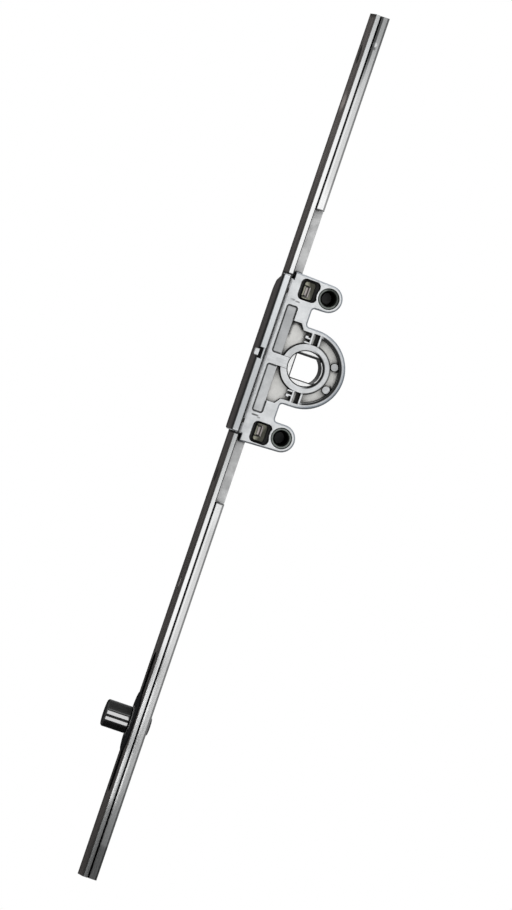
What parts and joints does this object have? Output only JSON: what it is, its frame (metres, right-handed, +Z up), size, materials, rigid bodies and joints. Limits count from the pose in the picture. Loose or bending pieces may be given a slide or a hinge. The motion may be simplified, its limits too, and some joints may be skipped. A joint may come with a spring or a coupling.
{
  "type": "window espagnolette gearbox",
  "caption": "Window espagnolette: a long flat rail with a die-cast gearbox whose square follower slides drive rods and a locking roller.",
  "frame": {"origin": "centre of the square spindle hole, at mid thickness of the gear case", "axes": "+Z up along the rail, +X from the rail back to the round end of the case, -Y towards the handle"},
  "size_m": [0.0345, 0.02, 0.2659],
  "materials": {
    "rail_steel": "rolled steel strip with a dull grey-brown zinc coat and bright edges",
    "cap_steel": "pressed steel, dull grey-brown zinc coat",
    "pip_zinc": "bare zinc",
    "case_zinc": "die-cast zinc, matt silver",
    "rivet_steel": "plain steel, dull",
    "sleeve_steel": "dark blued steel tube",
    "washer_zinc": "zinc with an olive tint",
    "follower_zinc": "die-cast zinc, worn by the spindle",
    "rack_zinc": "die-cast zinc, pale and mottled",
    "rod_steel": "rolled steel with a bright zinc coat",
    "stud_steel": "turned steel",
    "shoe_plastic": "black moulded nylon",
    "roller_black": "blackened steel with a gloss"
  },
  "bodies": {
    "gearbox": {"front_rail": "rail_steel", "gearbox_cap": "cap_steel", "alignment_pip": "pip_zinc", "case_near_half": "case_zinc", "case_far_half": "case_zinc", "guide_rivet": "rivet_steel", "screw_sleeve_upper": "sleeve_steel", "screw_sleeve_lower": "sleeve_steel", "case_rivet_upper": "rivet_steel", "case_rivet_lower": "rivet_steel", "rivet_washer_upper": "washer_zinc", "rivet_washer_lower": "washer_zinc", "rail_rivets_upper": "rivet_steel", "rail_rivets_lower": "rivet_steel"},
    "drive_rod": {"rack_bar": "rack_zinc", "drive_rod_upper": "rod_steel", "drive_rod_lower": "rod_steel", "rod_rivets_upper": "rivet_steel", "rod_rivets_lower": "rivet_steel", "cam_stud": "stud_steel", "cam_shoe": "shoe_plastic", "cam_washer": "stud_steel"},
    "follower": {"spindle_follower": "follower_zinc"},
    "roller": {"cam_roller": "roller_black"}
  },
  "joints": [
    {"name": "rod_slide", "type": "slide", "parent": "gearbox", "child": "drive_rod", "axis": [0, 0, 1], "range_m": [-0.015, 0.015]},
    {"name": "follower_turn", "type": "hinge", "parent": "gearbox", "child": "follower", "pos_m": [0, 0, 0], "axis": [0, 1, 0], "range_deg": [-90, 90]},
    {"name": "roller_spin", "type": "hinge", "parent": "drive_rod", "child": "roller", "pos_m": [-0.018, 0, -0.1138], "axis": [1, 0, 0], "continuous": true}
  ],
  "couplings": [
    {"joint": "follower_turn", "follows": "rod_slide", "rad_per_m": 104.71}
  ]
}
